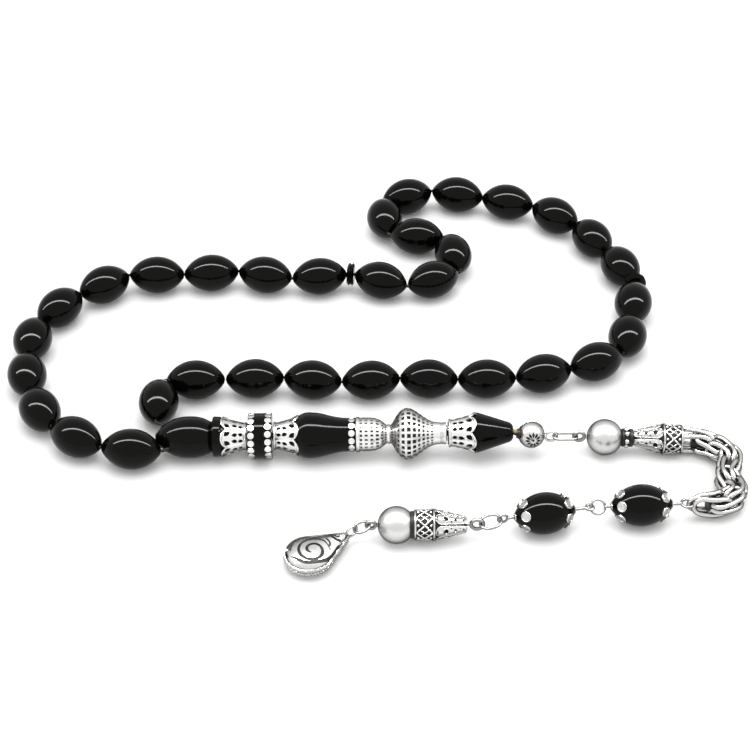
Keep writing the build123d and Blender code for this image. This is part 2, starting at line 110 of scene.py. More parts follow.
class Shape:
    """Vertices and faces that are gathered before they become one mesh."""

    def __init__(self):
        self.verts = []
        self.faces = []

    def add(self, verts, faces, matrix=None):
        first = len(self.verts)
        for v in verts:
            point = Vector(v)
            self.verts.append(matrix @ point if matrix else point)
        self.faces += [[first + i for i in face] for face in faces]
        return self

    def join(self, other, matrix=None):
        return self.add(other.verts, other.faces, matrix)


def lathe(profile, steps=72, closed=False):
    """Shape turned about X from (station, radius) points."""
    verts, faces, rings = [], [], []
    for x, r in profile:
        count = 1 if r < 1e-6 else steps
        rings.append(range(len(verts), len(verts) + count))
        verts += [
            (x, r * math.cos(TAU * k / steps), r * math.sin(TAU * k / steps))
            for k in range(count)
        ]
    pairs = list(zip(rings, rings[1:]))
    if closed:
        pairs.append((rings[-1], rings[0]))
    for a, b in pairs:
        for k in range(steps):
            n = k + 1
            quad = [a[k % len(a)], a[n % len(a)], b[n % len(b)], b[k % len(b)]]
            face = list(dict.fromkeys(quad))
            if len(face) > 2:
                faces.append(face)
    return Shape().add(verts, faces)


def tube(points, radius, sides=12, closed=False):
    """Round wire along points, with closed ends."""
    points = [Vector(p) for p in points]
    count = len(points)
    tangents = []
    for i in range(count):
        before = points[i - 1] if closed or i > 0 else points[i]
        after = points[(i + 1) % count] if closed or i < count - 1 else points[i]
        tangents.append((after - before).normalized())
    normal = tangents[0].orthogonal().normalized()
    frames = []
    for i, tangent in enumerate(tangents):
        if i:
            normal = tangents[i - 1].rotation_difference(tangent) @ normal
        frames.append((normal.copy(), tangent.cross(normal)))
    twist = 0.0
    if closed:
        back = tangents[-1].rotation_difference(tangents[0]) @ frames[-1][0]
        twist = math.atan2(back.dot(frames[0][1]), back.dot(frames[0][0]))
    verts, faces = [], []
    for i, (n, b) in enumerate(frames):
        turn = -twist * i / count
        for k in range(sides):
            a = TAU * k / sides + turn
            verts.append(points[i] + radius * (n * math.cos(a) + b * math.sin(a)))
    spans = count if closed else count - 1
    for i in range(spans):
        j = (i + 1) % count
        for k in range(sides):
            n = (k + 1) % sides
            faces.append([i * sides + k, i * sides + n, j * sides + n, j * sides + k])
    if not closed:
        faces.append(list(range(sides))[::-1])
        faces.append([(count - 1) * sides + k for k in range(sides)])
    return Shape().add(verts, faces)


def circle_points(radius, centre, count=40):
    """Points of an upright circle whose middle is at a station on X."""
    return [
        Vector((centre + radius * math.cos(TAU * k / count), 0,
                radius * math.sin(TAU * k / count)))
        for k in range(count)
    ]


def ball(radius, centre, steps=24):
    profile = [
        (-radius * math.cos(math.pi * i / (steps // 2)),
         max(0.0, radius * math.sin(math.pi * i / (steps // 2))))
        for i in range(steps // 2 + 1)
    ]
    profile[0] = (-radius, 0.0)
    profile[-1] = (radius, 0.0)
    return Shape().join(lathe(profile, steps), Matrix.Translation(centre))


def inside(point, loop):
    """Whether a plane point lies in a closed loop."""
    x, y = point
    hit = False
    for (x0, y0), (x1, y1) in zip(loop, loop[1:] + loop[:1]):
        if (y0 > y) != (y1 > y) and x < x0 + (y - y0) * (x1 - x0) / (y1 - y0):
            hit = not hit
    return hit


def pierced(outline, holes, step):
    """Flat mesh of an outline less its holes, filled with a grid so that it can be bent."""
    coords, edges = [], []
    for loop in [outline] + holes:
        first = len(coords)
        count = len(loop)
        coords += [Vector(p) for p in loop]
        edges += [(first + i, first + (i + 1) % count) for i in range(count)]
    low_x, high_x = min(p[0] for p in outline), max(p[0] for p in outline)
    low_y, high_y = min(p[1] for p in outline), max(p[1] for p in outline)
    for i in range(1, int((high_x - low_x) / step)):
        for j in range(1, int((high_y - low_y) / step)):
            p = (low_x + i * step, low_y + j * step)
            if inside(p, outline) and not any(inside(p, hole) for hole in holes):
                coords.append(Vector(p))
    verts, _, faces, *_ = delaunay_2d_cdt(coords, edges, [], 0, 1e-5)
    kept = []
    for face in faces:
        middle = sum((verts[i] for i in face), Vector((0, 0))) / len(face)
        if inside(middle, outline) and not any(inside(middle, hole) for hole in holes):
            kept.append(list(face))
    return [tuple(v) for v in verts], kept


def leaf(centre, length, width, angle, bend=0.0, count=5):
    """Pointed oval loop in the plane."""
    upper = [
        (-length / 2 + length * i / count,
         width / 2 * math.sin(math.pi * i / count) + bend * math.sin(math.pi * i / count))
        for i in range(count + 1)
    ]
    lower = [
        (length / 2 - length * i / count,
         -width / 2 * math.sin(math.pi * i / count)
         + bend * math.sin(math.pi * i / count))
        for i in range(1, count)
    ]
    c, s = math.cos(angle), math.sin(angle)
    return [(centre[0] + x * c - y * s, centre[1] + x * s + y * c) for x, y in upper + lower]


def round_hole(centre, radius, count=12):
    return [
        (centre[0] + radius * math.cos(TAU * k / count),
         centre[1] + radius * math.sin(TAU * k / count))
        for k in range(count)
    ]


def thick(shape, thickness):
    """The surface doubled at a distance inwards, with walls along its open edges."""
    mesh = bmesh.new()
    verts = [mesh.verts.new(v) for v in shape.verts]
    for face in shape.faces:
        mesh.faces.new([verts[i] for i in face])
    bmesh.ops.remove_doubles(mesh, verts=mesh.verts, dist=1e-4)
    bmesh.ops.recalc_face_normals(mesh, faces=mesh.faces)
    mesh.normal_update()
    outward = sum((f.normal.dot(Vector((0, *f.calc_center_median()[1:]))) for f in mesh.faces))
    if outward < 0:
        bmesh.ops.reverse_faces(mesh, faces=mesh.faces)
        mesh.normal_update()
    inner = {v: v.co - v.normal * thickness for v in mesh.verts}
    out = Shape()
    index = {}
    for v in mesh.verts:
        index[v] = len(out.verts)
        out.verts += [v.co.copy(), inner[v]]
    for face in mesh.faces:
        loop = [index[v] for v in face.verts]
        out.faces += [loop, [i + 1 for i in reversed(loop)]]
    for edge in mesh.edges:
        if len(edge.link_faces) == 1:
            loop = edge.link_loops[0]
            a, b = index[loop.vert], index[loop.link_loop_next.vert]
            out.faces.append([b, a, a + 1, b + 1])
    mesh.free()
    return out


def piece(name, shape, matrix, material, body, stands_for=(), edge=40):
    """One object of the scene, made from a shape in millimetres.

    Edges that turn by more than edge, in degrees, are shaded sharp.
    """
    data = bpy.data.meshes.new(name)
    bm = bmesh.new()
    verts = [bm.verts.new(matrix @ v) for v in shape.verts]
    for face in shape.faces:
        try:
            bm.faces.new([verts[i] for i in face])
        except ValueError:
            continue
    bmesh.ops.recalc_face_normals(bm, faces=bm.faces)
    bm.to_mesh(data)
    bm.free()
    data.shade_smooth()
    data.set_sharp_from_angle(angle=math.radians(edge))
    data.materials.append(material)
    obj = bpy.data.objects.new(name, data)
    bpy.context.scene.collection.objects.link(obj)
    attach(obj, body)
    if stands_for:
        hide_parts(*stands_for)
    return obj


# --- Materials --------------------------------------------------------------------
def material(name, color, metallic=0.0, roughness=0.3, specular=0.5, painted_rim_shade=None):
    """Plain surface whose roughness wanders slightly, with painted shade that darkens its colour where
    it turns away from the view.
    """
    made = bpy.data.materials.new(name)
    made.use_nodes = True
    nodes, links = made.node_tree.nodes, made.node_tree.links
    shader = nodes["Principled BSDF"]
    shader.inputs["Base Color"].default_value = (*color, 1)
    shader.inputs["Metallic"].default_value = metallic
    shader.inputs["Specular IOR Level"].default_value = specular
    noise = nodes.new("ShaderNodeTexNoise")
    noise.inputs["Scale"].default_value = 900
    noise.inputs["Detail"].default_value = 3
    ramp = nodes.new("ShaderNodeMapRange")
    ramp.inputs["To Min"].default_value = roughness * 0.75
    ramp.inputs["To Max"].default_value = roughness * 1.3
    coordinates = nodes.new("ShaderNodeTexCoord")
    links.new(coordinates.outputs["Object"], noise.inputs["Vector"])
    links.new(noise.outputs["Fac"], ramp.inputs["Value"])
    links.new(ramp.outputs["Result"], shader.inputs["Roughness"])
    # Painted shade: where the surface turns away from the view, its colour darkens towards the second
    # colour, and the specular tint is set to grey.
    if painted_rim_shade:
        weight = nodes.new("ShaderNodeLayerWeight")
        weight.inputs["Blend"].default_value = 0.5
        curve = nodes.new("ShaderNodeMapRange")
        curve.inputs["From Min"].default_value = 0.15
        curve.inputs["From Max"].default_value = 0.85
        mix = nodes.new("ShaderNodeMix")
        mix.data_type = "RGBA"  # whose colours are inputs 6 and 7 and output 2
        mix.inputs[6].default_value = (*color, 1)
        mix.inputs[7].default_value = (*painted_rim_shade, 1)
        links.new(weight.outputs["Facing"], curve.inputs["Value"])
        links.new(curve.outputs["Result"], mix.inputs[0])
        links.new(mix.outputs[2], shader.inputs["Base Color"])
        shader.inputs["Specular Tint"].default_value = (0.25, 0.25, 0.25, 1)
    return made


BEAD_BLACK = material("bead_black", (0.0016, 0.0015, 0.0012), roughness=0.08, specular=0.10)
HEAD_BLACK = material("head_black", (0.0016, 0.0015, 0.0012), roughness=0.10, specular=0.10)
# The second colour of each silver below is painted shade, taken on where its surface turns away from
# the view.
HEAD_SILVER = material("head_silver", (0.78, 0.775, 0.76), 1.0, 0.28, painted_rim_shade=(0.20, 0.20, 0.195))
SILVER = material("silver", (0.62, 0.615, 0.60), 1.0, 0.26, painted_rim_shade=(0.10, 0.10, 0.098))
WIRE_SILVER = material("wire_silver", (0.30, 0.297, 0.29), 1.0, 0.30, painted_rim_shade=(0.03, 0.03, 0.03))
POLISHED = material("polished_silver", (0.60, 0.60, 0.59), 1.0, 0.30, painted_rim_shade=(0.24, 0.24, 0.24))
# Flat dark colour of the sheets, shells and cores behind pierced silver and inside the cones and the
# chain: painted shade seen through the holes.
PAINTED_SHADE = material("painted_shade_dark", (0.010, 0.0095, 0.009), roughness=0.45, specular=0.3)
CHAIN_SILVER = material("chain_silver", (0.56, 0.555, 0.54), 1.0, 0.26, painted_rim_shade=(0.03, 0.03, 0.03))
THREAD = material("thread", (0.012, 0.009, 0.006), roughness=0.6, specular=0.2)
GOLD_THREAD = material("gold_thread", (0.36, 0.25, 0.08), roughness=0.5)


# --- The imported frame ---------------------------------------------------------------
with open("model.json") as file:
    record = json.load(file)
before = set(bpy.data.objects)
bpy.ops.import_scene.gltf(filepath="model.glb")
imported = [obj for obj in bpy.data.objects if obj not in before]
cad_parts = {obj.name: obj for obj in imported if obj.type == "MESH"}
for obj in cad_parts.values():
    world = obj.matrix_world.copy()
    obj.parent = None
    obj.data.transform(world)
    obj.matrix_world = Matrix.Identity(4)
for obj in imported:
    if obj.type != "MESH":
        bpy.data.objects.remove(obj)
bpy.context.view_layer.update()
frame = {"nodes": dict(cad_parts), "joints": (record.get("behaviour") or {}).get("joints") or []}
JOINTS = {j["name"]: j for j in frame["joints"]}


def pivot(name):
    return Vector(JOINTS[name]["pos_m"]) / MM


def on_axis(name):
    """Placement of a piece that spins about its own length."""
    centre = pivot(name)
    return along(centre, centre + Vector(JOINTS[name]["axis"]))


# --- Loop -----------------------------------------------------------------------------
def bead_shape():
    flank = arc((-BEAD_HALF, TIP_RADIUS), (0, BEAD_RADIUS), (BEAD_HALF, TIP_RADIUS), 48)
    tip = [(BEAD_HALF + 0.04, TIP_RADIUS - 0.12), (BEAD_HALF, BORE_RADIUS)]
    bore = [(-BEAD_HALF, BORE_RADIUS), (-BEAD_HALF - 0.04, TIP_RADIUS - 0.12)]
    return lathe(flank + tip + bore, 72, closed=True)


def build_loop():
    shape = bead_shape()
    for number in range(1, BEAD_COUNT + 1):
        name = f"bead_{number:02d}"
        place = on_axis(f"{name}_spin")
        piece(f"{name}_polished", shape, place, BEAD_BLACK, name, [name])


# --- Head -------------------------------------------------------------------------------
def head_place():
    start = Vector(HEAD_START)
    forward = Vector((math.cos(HEAD_PITCH), 0, math.sin(HEAD_PITCH)))
    return along(start, start + forward)


def crown_shape():
    """Pierced crown in local form: narrow edge at 0, six scallops at the wide edge."""
    length, narrow, wide = 5.6, 2.87, 4.33
    unrolled = 3.7                      # mean radius, at which a lobe is drawn flat
    lobes = 6
    half = math.pi / lobes

    def flat_radius(x):
        return narrow + (wide - narrow) * (x / length) ** 1.25

    def scallop(a):
        return length - 1.15 * (abs(a) / half) ** 2.3

    steps = 14
    rim = [(scallop(half * i / steps * 2 - half), half * i / steps * 2 - half)
           for i in range(steps + 1)]
    outline = [(0.0, -half)] + rim + [(0.0, half)]
    outline = [(x, a * unrolled) for x, a in outline]
    holes = []
    for side in (1, -1):
        holes.append(leaf((4.15, 0.98 * side), 1.6, 1.05, -0.62 * side, 0.10 * side))
        holes.append(leaf((2.55, 0.84 * side), 1.35, 1.0, -0.35 * side, -0.10 * side, 4))
        holes.append(leaf((1.25, 0.86 * side), 1.15, 1.0, 0.30 * side, 0.0, 4))
    plane, faces = pierced(outline, holes, 0.42)
    lobe = Shape()
    lobe.verts = [bent(x, y / unrolled, flat_radius(x)) for x, y in plane]
    lobe.faces = faces
    whole = Shape()
    for number in range(lobes):
        whole.join(lobe, spin(2 * half * number))
    whole = thick(whole, 0.3)
    border = []
    for number in range(lobes):
        for i in range(steps):
            a = half * i / steps * 2 - half
            x = scallop(a) - 0.16
            border.append(bent(x, a + 2 * half * number, flat_radius(x) + 0.06))
    whole.join(tube(border, 0.24, 8, closed=True))
    whole.join(ring_wire(0.25, flat_radius(0.25) + 0.05, 0.22))
    return whole


def bent(x, angle, radius):
    """Point at a station, an angle about X and a radius."""
    return Vector((x, radius * math.cos(angle), radius * math.sin(angle)))


def ring_wire(station, radius, wire, steps=72):
    """Round wire ring about X."""
    section = [
        (station + wire * math.cos(TAU * k / 10), radius + wire * math.sin(TAU * k / 10))
        for k in range(10)
    ]
    return lathe(section, steps, closed=True)


def stud_shape():
    """Domed pin with a fine raised edge, its head towards +X."""
    r = STUD_RADIUS
    return lathe([
        (-0.5, r), (0.02, r), (0.10, r - 0.05), (0.12, r - 0.13), (0.10, r - 0.22),
        (0.16, r * 0.5), (0.19, r * 0.25), (0.20, 0),
    ], 24)


def studs(station, radius, count, phase=0.0):
    out = Shape()
    outward = Matrix.Rotation(-math.pi / 2, 4, "Y")
    for k in range(count):
        place = spin(TAU * k / count + phase) @ Matrix.Translation((station, 0, radius))
        out.join(stud_shape(), place @ outward)
    return out


def lattice(stations, radius_at, rows, openness, phase=0.0):
    """Shell of revolution pierced by rows of square holes.

    stations holds (start, end) of each column of holes; openness is the part of a
    row's angle that is open in each column.
    """
    step = TAU / rows
    out = Shape()
    lines = [stations[0][0] - 0.3]
    for start, end in stations:
        lines += [start, end]
    lines.append(stations[-1][1] + 0.3)
    for row in range(rows):
        middle = row * step + phase
        for column, (x0, x1) in enumerate(zip(lines, lines[1:])):
            is_hole = column % 2 == 1
            before = openness[min(max((column - 1) // 2, 0), len(openness) - 1)]
            after = openness[min(column // 2, len(openness) - 1)]
            opening0, opening1 = (before, before) if is_hole else (before, after)
            h0, h1 = opening0 * step / 2, opening1 * step / 2
            spans = [(middle - step / 2, middle - step / 2, middle - h0, middle - h1)]
            if not is_hole:
                spans.append((middle - h0, middle - h1, middle + h0, middle + h1))
            spans.append((middle + h0, middle + h1, middle + step / 2, middle + step / 2))
            r0, r1 = radius_at(x0), radius_at(x1)
            for a0, a1, b0, b1 in spans:
                out.add(
                    [bent(x0, a0, r0), bent(x1, a1, r1), bent(x1, b1, r1), bent(x0, b0, r0)],
                    [[0, 1, 2, 3]],
                )
    return out


def table_radius(points):
    """Radius at a station, read from a smooth curve through (station, radius) points."""
    curve = smooth(points, 12)

    def at(x):
        if x <= curve[0].x:
            return curve[0].y
        for p, q in zip(curve, curve[1:]):
            if p.x <= x <= q.x:
                share = (x - p.x) / max(q.x - p.x, 1e-9)
                return p.y + (q.y - p.y) * share
        return curve[-1].y

    return at


# Of each crown: station of its narrow edge, turn about the head, turn that faces it
# towards the loop or the tassel, and stretch along the head.
CROWNS = [(20.2, 34.1, 180, 1.0), (26.05, 2.9, 0, 1.0), (64.6, 50.9, 0, 1.07)]
# Of each row of studs: station, radius, number, and turn about the head.
STUD_ROWS = [(21.3, 4.95, 18, 8.9), (25.0, 4.95, 18, 5.6), (43.3, 3.6, 13, 17.4)]
# Stations and radii of the two pierced domes.
DOME_PROFILE = [(44.3, 3.68), (46.0, 3.72), (48.0, 3.66), (49.4, 3.25), (50.3, 2.6), (51.1, 2.0)]
ONION_PROFILE = [
    (51.75, 1.95), (52.3, 2.55), (53.2, 4.05), (54.4, 5.35), (55.7, 5.72), (57.0, 5.25),
    (58.4, 4.3), (59.8, 3.3), (61.2, 2.62), (62.4, 2.42), (64.1, 2.38),
]


def dome_shape():
    at = table_radius(DOME_PROFILE)
    columns = [(45.12, 45.62), (46.2, 46.84), (47.45, 48.06), (48.64, 49.28), (49.8, 50.3),
               (50.62, 51.0)]
    openness = [0.52, 0.4, 0.44, 0.55, 0.5, 0.55]
    shell = thick(lattice(columns, at, DOME_ROWS, openness, math.radians(8.6)), 0.3)
    foot = [(44.3, 3.3), (44.3, 3.82), (44.42, 3.9), (44.9, 3.9), (45.0, 3.8), (45.0, 3.3)]
    waist = [(51.12, 1.6), (51.12, 2.08), (51.3, 2.16), (51.55, 2.16), (51.72, 2.08), (51.72, 1.6)]
    shell.join(lathe(foot, 72))
    shell.join(lathe(waist, 64))
    return shell


def onion_shape():
    at = table_radius(ONION_PROFILE)
    columns = [(51.95, 52.4), (52.72, 53.0), (53.36, 53.78), (54.27, 54.93), (55.45, 56.27),
               (56.68, 57.43), (57.84, 58.36), (58.82, 59.34), (59.78, 60.26), (60.72, 61.2)]
    openness = [0.5, 0.5, 0.55, 0.6, 0.62, 0.62, 0.6, 0.58, 0.55, 0.5]
    shell = thick(lattice(columns, at, ONION_ROWS, openness, math.radians(0.3)), 0.32)
    neck = [(x, at(x)) for x in (61.5, 61.9, 62.3, 62.7)]
    neck += [(62.8, 2.43), (62.85, 2.31), (63.0, 2.31), (63.05, 2.42), (63.2, 2.42), (63.25, 2.31),
             (63.4, 2.31), (63.45, 2.42), (64.05, 2.42), (64.1, 2.35), (64.1, 2.0), (61.5, 2.0)]
    shell.join(lathe(neck, 64, closed=True))
    return shell


def build_head():
    place = head_place()
    base = [(0, 0)] + arc((0, 0.9), (2.2, 3.05), (7.6, 4.6), 24)
    base += arc((7.6, 4.6), (10.2, 4.3), (12.3, 3.35), 14)[1:]
    base += [(12.45, 3.5), (12.8, 4.42), (13.0, 4.5), (13.4, 4.47), (14.3, 4.42), (14.62, 4.2)]
    base += [(14.7, 3.95), (20.2, 2.5), (20.2, 0)]
    piece("head_base_turned", lathe(base, 96), place, HEAD_BLACK, "head", ["head_base"], 30)
    ring = [(20.5, 1.2), (20.5, 4.2)] + arc((20.5, 4.25), (20.72, 4.83), (21.3, 5.05), 8)
    ring += arc((25.0, 5.05), (25.58, 4.83), (25.8, 4.25), 8) + [(25.8, 1.2)]
    piece("studded_ring_turned", lathe(ring, 96, closed=True), place, HEAD_BLACK, "head",
          ["head_studded_ring"], 30)
    barrel = [(26.1, 0), (26.1, 2.5), (31.6, 3.9), (31.6, 4.4)]
    barrel += arc((31.6, 4.4), (32.8, 4.93), (34.4, 5.05), 10)[1:]
    barrel += [(p.x, p.y) for p in smooth(
        [(34.4, 5.05), (36.2, 4.86), (38.5, 4.3), (41.0, 3.82), (43.0, 3.7), (44.25, 3.7)], 8)][1:]
    barrel += [(44.25, 1.75), (64.3, 1.75), (64.3, 0)]
    piece("head_barrel_turned", lathe(barrel, 96), place, HEAD_BLACK, "head", ["head_barrel"], 30)
    cone = [(64.4, 0), (64.4, 2.5), (70.7, 3.95), (70.7, 4.42), (71.1, 4.42), (78.0, 2.2)]
    cone += [(78.5, 1.85), (78.8, 1.35), (78.8, 0.6), (78.0, 0.5), (78.0, 0)]
    piece("head_cone_turned", lathe(cone, 96), place, HEAD_BLACK, "head", ["head_cone"], 30)

    crown = crown_shape()
    silver = Shape()
    for station, turn, facing, stretch in CROWNS:
        turned = Matrix.Rotation(math.radians(facing), 4, "Z") @ spin(math.radians(turn))
        silver.join(crown, shift(station) @ turned @ Matrix.Diagonal((stretch, 1, 1, 1)))
    for station, radius, count, turn in STUD_ROWS:
        silver.join(studs(station, radius, count, math.radians(turn)))
    silver.join(dome_shape())
    silver.join(onion_shape())
    piece("head_silver", silver, place, HEAD_SILVER, "head", ["head_silverwork"], 35)
    # Dark shells just under the pierced dome and onion paint the shade seen through their holes.
    inner = lathe([(p.x, max(p.y - 0.42, 0.3)) for p in smooth(DOME_PROFILE, 6)], 48)
    inner.join(lathe([(p.x, p.y - 0.45) for p in smooth(ONION_PROFILE, 6)], 48))
    piece("head_silver_inside", inner, place, PAINTED_SHADE, "head")


# --- Tassel -----------------------------------------------------------------------------
def eye_shape(centre, radius, wire, roll=0.0):
    """Round wire eye standing on edge at a station."""
    ring = tube(circle_points(radius, centre), wire / 2, 12, closed=True)
    return Shape().join(ring, spin(roll))


def stem_shape(start, end, radius=0.35):
    return lathe([(start, 0), (start, radius), (end, radius), (end, 0)], 20)


def cone_radius(x, length):
    return 1.55 + 1.45 * (max(x, 0.0) / length) ** 1.15


def petal_shape(length):
    """Domed and pierced petal wrapped on a cone, its narrow end at 0."""
    end = 1.2
    neck = length - end

    def half_width(x):
        if x <= neck:
            return 0.45 + (end - 0.45) * x / neck
        return math.sqrt(max(end ** 2 - (x - neck) ** 2, 0.01))

    side = [(neck * i / 8, half_width(neck * i / 8)) for i in range(9)]
    side += [(neck + end * math.sin(math.pi * i / 16), end * math.cos(math.pi * i / 16))
             for i in range(1, 8)]
    outline = side + [(length, 0.0)] + [(x, -y) for x, y in reversed(side)]
    holes = [
        [(0.35, 0.0), (0.9, 0.24), (0.9, -0.24)],
        round_hole((2.45, 0), 0.31),
        round_hole((4.45, 0), 0.50, 16),
        leaf((length - 0.5, 0), 1.1, 0.34, math.pi / 2, -0.14),
    ]
    for side_sign in (1, -1):
        holes.append(round_hole((1.45, 0.26 * side_sign), 0.12, 8))
        holes.append(round_hole((3.3, 0.50 * side_sign), 0.17, 8))

    def wrapped(x, y, lift=0.0):
        radius = cone_radius(x, length)
        dome = 0.3 * (1 - min(abs(y) / half_width(x), 1.0) ** 2)
        return bent(x, y / radius, radius + dome + lift)

    plane, faces = pierced(outline, holes, 0.33)
    sheet = Shape()
    sheet.verts = [wrapped(x, y) for x, y in plane]
    sheet.faces = faces
    petal = thick(sheet, 0.22)
    petal.join(tube([wrapped(x, y, 0.02) for x, y in outline], 0.11, 8, closed=True))
    hole_edge = [wrapped(x, y, 0.04) for x, y in round_hole((4.45, 0), 0.60, 20)]
    return petal.join(tube(hole_edge, 0.09, 8, closed=True))


def band_shape(start, end, phase):
    """Open band of six diamonds between two rims."""
    def radius(x):
        return 3.22 - 0.22 * (x - start) / (end - start)

    middle = (start + end) / 2
    reach = (end - start) / 2 - 0.42
    band = ring_wire(start + 0.2, radius(start), 0.22)
    band.join(ring_wire(end - 0.2, radius(end), 0.24))
    for sign in (1, -1):
        zigzag = []
        for k in range(72):
            rise = 1 - abs(k % 12 / 6 - 1)
            x = middle + sign * reach * rise
            zigzag.append(bent(x, TAU * k / 72 + phase, radius(x)))
        band.join(tube(zigzag, 0.22, 8, closed=True))
    for k in range(6):
        crossing = phase + TAU * k / 6
        diamond = crossing + math.pi / 6
        for sign in (1, -1):
            arm = [bent(middle + 0.85 * t, diamond + sign * 0.2 * t, radius(middle) + 0.02)
                   for t in (-1, 0, 1)]
            band.join(tube(arm, 0.14, 8))
            pad = bent(middle + sign * (reach - 0.42), crossing, radius(middle) - 0.08)
            band.join(ball(0.34, pad, 12))
    return band


def cone_shapes(length, petal_phase, band_phase):
    """Silver parts of a cone, and dark parts inside it that paint its shade, from its narrow end at 0.
    """
    start, end = length + 0.15, length + 4.5
    petal = petal_shape(length)
    silver = band_shape(start, end, band_phase)
    for k in range(6):
        silver.join(petal, spin(petal_phase + TAU * k / 6))
    # The dark cone under the petals and the band paints the shade inside the cone.
    dark = lathe([
        (0.1, 0.3), (0.1, 1.25), (length, 2.7), (start + 0.2, 2.98), (end - 0.1, 2.82),
        (end - 0.1, 2.6), (end - 2.4, 2.5), (end - 2.4, 0.3),
    ], 60, closed=True)
    return silver, dark


def build_cones():
    start, end = pivot("upper_cone_swing"), pivot("chain_1_swing")
    length = (end - start).length
    petal_turn, band_turn = math.radians(50.9), math.radians(20.9)
    silver, dark = cone_shapes(6.1, petal_turn, band_turn)
    upper = Shape().join(silver, shift(UPPER_CONE_START))
    wire = eye_shape(0.84, 1.15, 0.85).join(eye_shape(length - 0.79, 1.1, 0.85))
    wire.join(stem_shape(2.0, length - 1.9))
    piece("upper_cone_wire", wire, along(start, end), WIRE_SILVER, "upper_cone")
    for k in range(6):
        upper.join(ball(0.62, bent(11.3, petal_turn + TAU * k / 6, 1.68), 16))
    # A dark collar between the six balls at the cone's narrow end paints the shade there.
    collar = lathe([
        (10.1, 0.4), (10.1, 1.75), (10.35, 2.05), (10.65, 2.05), (10.75, 1.5), (11.85, 1.5),
        (11.95, 2.0), (12.6, 2.0), (UPPER_CONE_START, 1.5), (UPPER_CONE_START, 0.4),
    ], 48, closed=True)
    inner = Shape().join(dark, shift(UPPER_CONE_START)).join(collar)
    piece("upper_cone_silver", upper, along(start, end), SILVER, "upper_cone", ["upper_cone"], 50)
    piece("upper_cone_inside", inner, along(start, end), PAINTED_SHADE, "upper_cone")

    start, end = pivot("lower_cone_swing"), pivot("pendant_ring_swing")
    length = (end - start).length
    silver, dark = cone_shapes(6.6, math.radians(9.1), math.radians(39.1))
    lower = Shape().join(silver, shift(LOWER_CONE_START))
    wire = eye_shape(0.99, 1.3, 0.85).join(eye_shape(length - 0.64, 0.95, 0.85))
    wire.join(stem_shape(2.3, length - 1.6))
    piece("lower_cone_wire", wire, along(start, end), WIRE_SILVER, "lower_cone")
    # A dark seat in the cone's open mouth paints the shade inside it.
    seat = [(13.6, 0.4), (13.6, 2.9), (14.9, 2.95), (15.1, 2.8), (14.3, 0.4)]
    inner = Shape().join(dark, shift(LOWER_CONE_START)).join(lathe(seat, 48, closed=True))
    piece("lower_cone_silver", lower, along(start, end), SILVER, "lower_cone", ["lower_cone"], 50)
    piece("lower_cone_inside", inner, along(start, end), PAINTED_SHADE, "lower_cone")


def build_balls():
    bore = 0.5
    face = math.sqrt(BALL_RADIUS ** 2 - bore ** 2)
    profile = [(-face, bore)] + arc((-face, bore), (0, BALL_RADIUS), (face, bore), 48)[1:]
    for name in ("upper_ball", "lower_ball"):
        piece(f"{name}_polished", lathe(profile, 72, closed=True), on_axis(f"{name}_spin"),
              POLISHED, name, [name])


def flank_radius(x):
    """Radius of a barley bead at a station from its middle."""
    sagitta = BEAD_RADIUS - TIP_RADIUS
    curve = (BEAD_HALF ** 2 + sagitta ** 2) / (2 * sagitta)
    return math.sqrt(curve ** 2 - x ** 2) - curve + BEAD_RADIUS


def cap_shape(phase):
    """Six dished petals and a hub on the +X tip of a stone whose middle is at 0."""
    petal = ring_wire(0.0, 1.0, 0.14, 24)
    petal.join(lathe([(-0.25, 1.0), (0.0, 0.9), (-0.1, 0.55), (-0.04, 0.2), (0.0, 0)], 24))
    cap = Shape()
    station = 4.75
    lean = math.atan2(flank_radius(station - 0.3) - flank_radius(station + 0.3), 0.6)
    upright = Matrix.Translation((station, 0, flank_radius(station) + 0.22))
    tilt = upright @ Matrix.Rotation(lean - math.pi / 2, 4, "Y")
    for k in range(6):
        cap.join(petal, spin(phase - math.pi / 2 + TAU * k / 6) @ tilt)
    hub = [(5.7, 1.1), (5.75, 1.35), (6.0, 1.25), (6.35, 0.95), (6.6, 0.8), (6.65, 0.4)]
    return cap.join(lathe(hub, 40))


def build_stones():
    mirror = Matrix.Rotation(math.pi, 4, "Z")
    # name, joints at both ends, station of the middle, radii of the two eyes, how far
    # the first eye goes past its pivot, and the eyes' rolls in degrees
    specs = [
        ("stone_a", "stone_a_swing", "stone_b_swing", 10.1, (1.25, 1.55), 0.945, (90, 40)),
        ("stone_b", "stone_b_swing", "joining_link_swing", 10.3, (0.8, 1.0), 0.31, (90, 0)),
    ]
    for name, first_joint, last_joint, centre, eyes, first_reach, rolls in specs:
        piece(f"{name}_polished", bead_shape(), on_axis(f"{name}_spin"), BEAD_BLACK, name, [name])
        start, end = pivot(first_joint), pivot(last_joint)
        last_centre = (end - start).length + 0.31 - eyes[1]
        wire = eye_shape(eyes[0] - first_reach, eyes[0], 0.62, math.radians(rolls[0]))
        wire.join(eye_shape(last_centre, eyes[1], 0.56, math.radians(rolls[1])))
        wire.join(stem_shape(2 * eyes[0] - first_reach, last_centre - eyes[1]))
        piece(f"{name}_wire", wire, along(start, end), WIRE_SILVER, f"{name}_caps")
        caps = Shape().join(cap_shape(math.radians(39.1)), shift(centre))
        caps.join(cap_shape(math.radians(171)), shift(centre) @ mirror)
        piece(f"{name}_cap_silver", caps, along(start, end), SILVER, f"{name}_caps",
              [f"{name}_caps"], 50)


